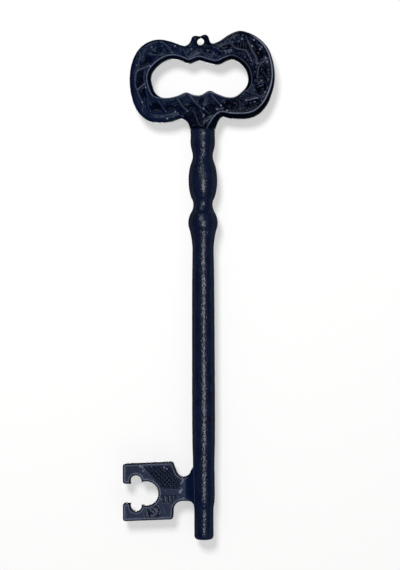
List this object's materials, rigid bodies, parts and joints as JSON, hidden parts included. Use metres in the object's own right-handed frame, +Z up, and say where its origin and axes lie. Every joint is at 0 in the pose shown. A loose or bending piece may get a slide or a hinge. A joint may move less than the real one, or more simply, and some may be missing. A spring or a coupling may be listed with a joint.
{
  "type": "ornamental skeleton key",
  "caption": "Large wall-hung skeleton key with a relief kidney bow, drilled hanging lug, beaded neck, round shank and a flag bit with a C-shaped ward notch.",
  "frame": {"origin": "centre of the hanging hole in the lug on top of the bow", "axes": "+Z up along the shank, from the bit to the bow; the show face looks towards -Y; the bit points towards -X"},
  "size_m": [0.1078, 0.0208, 0.3565],
  "materials": {
    "bow_enamel": "semi-gloss black enamel over cast iron, with fine pits",
    "shank_enamel": "semi-gloss blue-black enamel over iron, with fine pits",
    "bit_enamel": "semi-gloss blue-black enamel, rubbed paler on the raised edges"
  },
  "bodies": {
    "root": {"bow": "bow_enamel", "collar": "shank_enamel", "barrel_bead": "shank_enamel", "ball_bead": "shank_enamel", "shank": "shank_enamel", "bit": "bit_enamel", "bow_pin": "shank_enamel", "shank_pin": "shank_enamel", "bit_rivets": "shank_enamel"}
  },
  "joints": []
}
